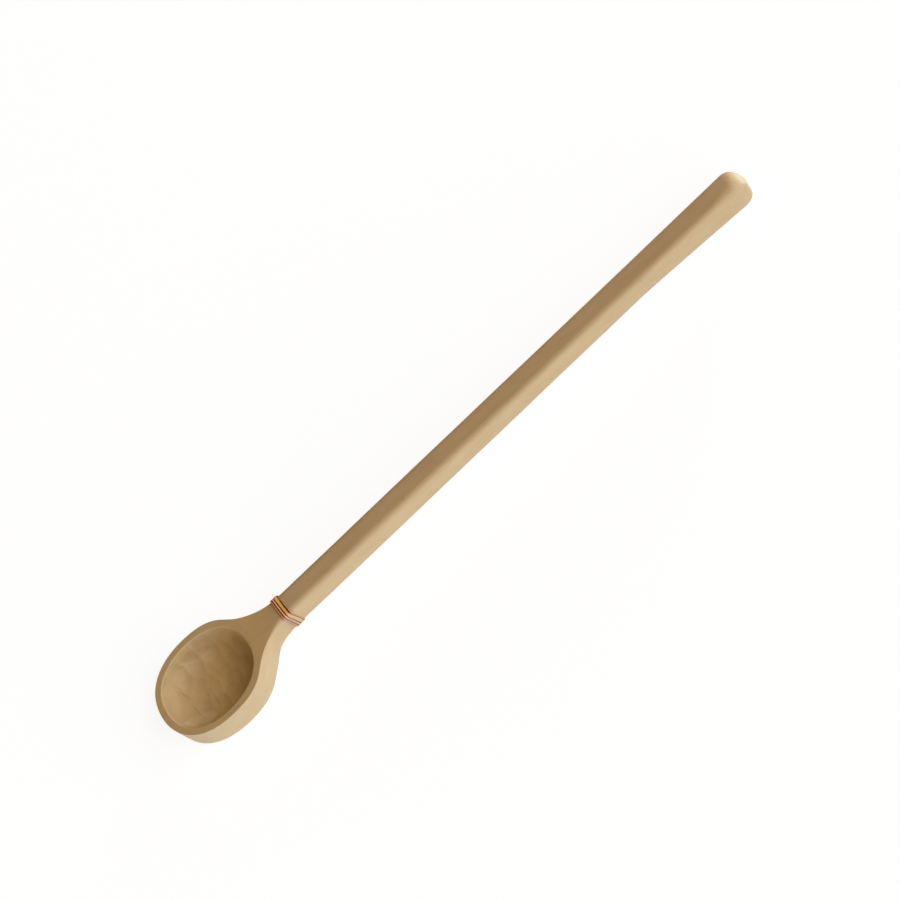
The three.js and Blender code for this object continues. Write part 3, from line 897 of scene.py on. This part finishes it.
def tone_wood(nodes, colour, along, upper, hollow, end):
    """Tints the handle, and paints shade: on what faces up, deeper on the cavity's darkest wall and on
    the rim, on the lit side of the cavity's edge, and on the upper edge on the +Y side.
    """
    on_handle = nodes.ramp(along, *HANDLE_TONE_RUN)
    colour = nodes.tint(on_handle, colour, HANDLE_TONE)
    not_end = nodes.math("SUBTRACT", 1, end)
    not_hollow = nodes.math("SUBTRACT", not_end, hollow)
    # Painted shade: darkens what faces up, but not the grip end's face or the cavity's hollow.
    shaded = nodes.math("MULTIPLY", nodes.ramp(upper, *SHADED_RAMP), not_hollow)
    colour = nodes.tint(shaded, colour, UPPER_SHADE)
    # Painted shade: warms what faces up and the cavity, more deeply on its darkest wall and on the rim.
    shade_tinted = nodes.math("MULTIPLY", nodes.ramp(upper, *TINTED_SHADE_RAMP), not_end)
    colour = nodes.tint(shade_tinted, colour, nodes.mix(nodes.mark("deep_shade_share"), TOP_SHADE_TINT, DEEP_SHADE_TINT))
    # Painted shade on the lit side of the cavity's edge.
    colour = nodes.tint(nodes.mark("lip_shade"), colour, LIP_SHADE_TONE)
    # Painted shade on the upper edge on the +Y side.
    return nodes.tint(nodes.mark("far_edge_shade"), colour, FAR_EDGE_SHADE_TONE)


def sand_end(nodes, colour, place, along, end):
    """Makes the grip end's face paler where it faces +X, and draws the lines that sanding left across the
    end.
    """
    sanding = nodes.noise(place, SANDING_SCALE, detail=2)
    paled = nodes.math("MULTIPLY", end, nodes.ramp(sanding, *PALED_RAMP))
    colour = nodes.mix(paled, colour, WOOD_END)
    at_end = nodes.ramp(along, *SANDED_RUN)
    lines = nodes.math("MULTIPLY", nodes.ramp(sanding, *SANDED_RAMP), at_end)
    return nodes.mix(lines, colour, WOOD_FLECK)


def mark_tools(nodes, colour, place, fibre, upper, hollow):
    """Tints the cavity cut by cut, paints broad strokes of highlight and shade in it, and draws the
    scratches.
    """
    wavy = nodes.add("ShaderNodeTexNoise", {"Vector": place, "Scale": WAVER_SCALE, "Detail": 2})
    reach = Vector((WAVER, WAVER, 0))
    bent = nodes.vector("MULTIPLY_ADD", wavy.outputs["Color"], reach, place)
    bent = nodes.vector("SUBTRACT", bent, reach / 2)
    sizes = (1 / PATCH_WIDTH, 1 / PATCH_LENGTH, 1 / PATCH_LENGTH)
    patches = nodes.vector("MULTIPLY", bent, sizes)
    chance = nodes.add("ShaderNodeTexVoronoi", {"Vector": patches, "Scale": 1}).outputs["Color"]
    chance = nodes.add("ShaderNodeSeparateColor", {0: chance}).outputs["Red"]
    colour = nodes.tint(hollow, colour, nodes.mix(chance, PATCH_COOL, PATCH_WARM))
    # Painted highlights and painted shade, one stroke at a time.
    for start, finish, breadth, core, tone, share in PAINTED_STROKES:
        cut = stroke(nodes, bent, start, finish, breadth, core)
        amount = nodes.math("MULTIPLY", cut, nodes.math("MULTIPLY", hollow, share))
        colour = nodes.mix(amount, colour, tone)
    dark = 0
    for start, finish, darkness in SCRATCHES:
        line = nodes.math("MULTIPLY", stroke(nodes, bent, start, finish, SCRATCH_WIDTH), darkness)
        dark = nodes.math("MAXIMUM", line, dark)
    dark = nodes.math("MULTIPLY", dark, nodes.ramp(upper, *SCRATCHED_RAMP))
    dark = nodes.math("MULTIPLY", dark, nodes.ramp(fibre, *WORN_RAMP))
    return nodes.mix(dark, colour, WOOD_FLECK)


def wood_material():
    material, nodes = new_material("pale_wood")
    place = nodes.place()
    along = nodes.add("ShaderNodeSeparateXYZ", {0: place}).outputs["X"]
    hollow = nodes.mark("hollow")
    upper = nodes.mark("upper")
    end = nodes.mark("end")
    fibre = nodes.noise(place, FIBRE_SCALE, detail=4, roughness=0.6)
    colour = wood_grain(nodes, place, fibre, hollow)
    colour = tone_wood(nodes, colour, along, upper, hollow, end)
    colour = sand_end(nodes, colour, place, along, end)
    pores = nodes.noise(place, PORE_SCALE, detail=1)
    colour = nodes.mix(nodes.ramp(pores, *PORE_RAMP), colour, WOOD_FLECK)
    colour = mark_tools(nodes, colour, place, fibre, upper, hollow)
    nodes.surface(colour, nodes.ramp(fibre, *WOOD_ROUGHNESS_RAMP), WOOD_GLOSS, fibre, WOOD_RELIEF)
    return material


def leather_material():
    material, nodes = new_material("tan_leather")
    place = nodes.place()
    strand = nodes.mark("strand")
    lit_side = nodes.mark("lit_side")
    mottle = nodes.noise(place, MOTTLE_SCALE)
    second, third = (nodes.ramp(strand, turn - TURN_BLEND, turn + TURN_BLEND) for turn in (1, 2))
    upper = nodes.mix(third, nodes.mix(second, LEATHER_RUST, LEATHER_ORANGE), LEATHER_GOLD)
    # Painted light: lighter copies of the strands' colours where the lace faces -Y.
    lit_colour = nodes.mix(third, nodes.mix(second, LEATHER_LIT_RUST, LEATHER_LIT_ORANGE), LEATHER_LIT_GOLD)
    colour = nodes.mix(nodes.varied(lit_side, mottle, LIT_SIDE_CHANGE, clamp=True), upper, lit_colour)
    # Painted shade along the third strand's groove.
    groove_shade = nodes.math("MULTIPLY", nodes.math("MULTIPLY", nodes.mark("groove"), third), GROOVE_SHADE)
    colour = nodes.mix(groove_shade, colour, LEATHER_RUST)
    # Dark dyed cut edges and painted shade; on the lit -Y side they take the lighter copy, as painted
    # light.
    edge = nodes.varied(nodes.mark("dyed_edge_and_shade"), mottle, EDGE_CHANGE, clamp=True)
    colour = nodes.mix(edge, colour, nodes.mix(lit_side, LEATHER_DYE_AND_SHADE, LEATHER_LIT_DYE))
    roughness = nodes.ramp(mottle, *LEATHER_ROUGHNESS_RAMP)
    gloss = nodes.ramp(edge, *LEATHER_GLOSS_RAMP)
    grain = nodes.noise(place, LEATHER_GRAIN_SCALE, detail=2)
    nodes.surface(colour, roughness, gloss, grain, LEATHER_RELIEF)
    return material


# Floor
FLOOR_SIZE = 8
FLOOR_DROP = 0.0002  # below the ladle's base
FLOOR_COLOUR = srgb(232, 230, 226)
FLOOR_GLOW = 0.65  # of what is seen of the floor
FLOOR_LIGHT = 1.32

# Lights
WHITE = (1, 1, 1, 1)
AMBIENT = (0.09, 0.085, 0.075, 1)
KEY_BEARING = 52  # degrees from -Y towards +X
KEY_HEIGHT = 29  # degrees above the floor
KEY_STRENGTH = 2.25
KEY_SOFTNESS = 80  # degrees
STRIP_SIZE = (1.2, 0.28)  # of long softboxes that stand on the floor
STRIP_HEIGHT = STRIP_SIZE[1] / 2

# Name, middle, size and power of each softbox. The kicker is beyond the grip end.
SOFTBOXES = (
    ("strip", (-1.3, -0.75, STRIP_HEIGHT), STRIP_SIZE, 8.2),
    ("strip", (0.6, -1.5, STRIP_HEIGHT), STRIP_SIZE, 3.6),
    ("kicker", (1.45, 0.8, 0.12), (0.5, 0.2), 8),
)

# Photograph
PHOTO_PIXELS = 900
PIXELS_PER_METRE = 1354.77
ORIGIN_PIXEL = (224.165, 686.260)  # where the frame's origin is in the photograph
VIEW_AZIMUTH = 22.2288
VIEW_ELEVATION = 55.8134
VIEW_ROLL = -62.0132
CAMERA_DISTANCE = 2.0


def seen_share(nodes):
    """1 for rays that show the background: from the camera, and off or through glossy things."""
    path = nodes.add("ShaderNodeLightPath").outputs
    shown = nodes.math("MAXIMUM", path["Is Camera Ray"], path["Is Glossy Ray"])
    return nodes.math("MAXIMUM", shown, path["Is Transmission Ray"])


def set_stage():
    half = FLOOR_SIZE / 2
    corners = [(-half, -half, 0), (half, -half, 0), (half, half, 0), (-half, half, 0)]
    mesh = bpy.data.meshes.new("floor")
    mesh.from_pydata(corners, [], [(0, 1, 2, 3)])
    floor = bpy.data.objects.new("floor", mesh)
    floor.location.z = -FLOOR_DROP
    bpy.context.scene.collection.objects.link(floor)
    material, nodes = new_material("floor")
    matt = nodes.add("ShaderNodeBsdfDiffuse", {"Color": FLOOR_COLOUR}).outputs[0]
    glow = nodes.add("ShaderNodeEmission", {"Strength": FLOOR_LIGHT}).outputs[0]
    share = nodes.math("MULTIPLY", seen_share(nodes), FLOOR_GLOW)
    surface = nodes.add("ShaderNodeMixShader", {0: share, 1: matt, 2: glow}).outputs[0]
    nodes.add("ShaderNodeOutputMaterial", {"Surface": surface})
    mesh.materials.append(material)


def towards(bearing, height):
    """The direction at a bearing from -Y towards +X and a height above the floor, both in degrees."""
    bearing = math.radians(bearing)
    height = math.radians(height)
    flat = math.cos(height)
    return Vector((math.sin(bearing) * flat, -math.cos(bearing) * flat, math.sin(height)))


def place_lamp(lamp, place):
    """Sets a lamp at a place, turned to the frame's origin."""
    stand = bpy.data.objects.new(lamp.name, lamp)
    stand.location = place
    stand.rotation_mode = "QUATERNION"
    stand.rotation_quaternion = place.to_track_quat("Z", "Y")
    stand.visible_camera = False
    bpy.context.scene.collection.objects.link(stand)


def set_lights():
    world = bpy.data.worlds.new("studio")
    world.use_nodes = True
    nodes = Nodes(world.node_tree)
    ambient = nodes.add("ShaderNodeBackground", {"Color": AMBIENT, "Strength": 1}).outputs[0]
    white = nodes.add("ShaderNodeBackground", {"Color": WHITE, "Strength": 1}).outputs[0]
    surface = nodes.add("ShaderNodeMixShader", {0: seen_share(nodes), 1: ambient, 2: white}).outputs[0]
    nodes.add("ShaderNodeOutputWorld", {"Surface": surface})
    bpy.context.scene.world = world
    key = bpy.data.lights.new("key", "SUN")
    key.energy = KEY_STRENGTH
    key.angle = math.radians(KEY_SOFTNESS)
    place_lamp(key, towards(KEY_BEARING, KEY_HEIGHT))
    for name, middle, size, power in SOFTBOXES:
        softbox = bpy.data.lights.new(name, "AREA")
        softbox.shape = "RECTANGLE"
        softbox.size, softbox.size_y = size
        softbox.energy = power
        place_lamp(softbox, Vector(middle))


def set_camera():
    azimuth = math.radians(VIEW_AZIMUTH)
    roll = math.radians(VIEW_ROLL)
    back = towards(VIEW_AZIMUTH, VIEW_ELEVATION)
    level = Vector((math.cos(azimuth), math.sin(azimuth), 0))
    steep = back.cross(level)
    right = math.cos(roll) * level + math.sin(roll) * steep
    up = math.cos(roll) * steep - math.sin(roll) * level
    centre = PHOTO_PIXELS / 2
    place = right * (centre - ORIGIN_PIXEL[0]) / PIXELS_PER_METRE
    place += up * (ORIGIN_PIXEL[1] - centre) / PIXELS_PER_METRE
    place += back * CAMERA_DISTANCE
    lens = bpy.data.cameras.new("camera")
    lens.type = "ORTHO"
    lens.ortho_scale = PHOTO_PIXELS / PIXELS_PER_METRE
    camera = bpy.data.objects.new("camera", lens)
    camera.matrix_world = Matrix.Translation(place) @ Matrix((right, up, back)).transposed().to_4x4()
    bpy.context.scene.collection.objects.link(camera)
    bpy.context.scene.camera = camera


body = wooden_body()
body.data.materials.append(wood_material())
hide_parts("ladle_body")
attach(body, "root")

lace = leather_lace()
lace.data.materials.append(leather_material())
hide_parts("neck_lace")
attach(lace, "root")

set_stage()
set_lights()
set_camera()
bpy.context.scene.view_settings.view_transform = "Standard"
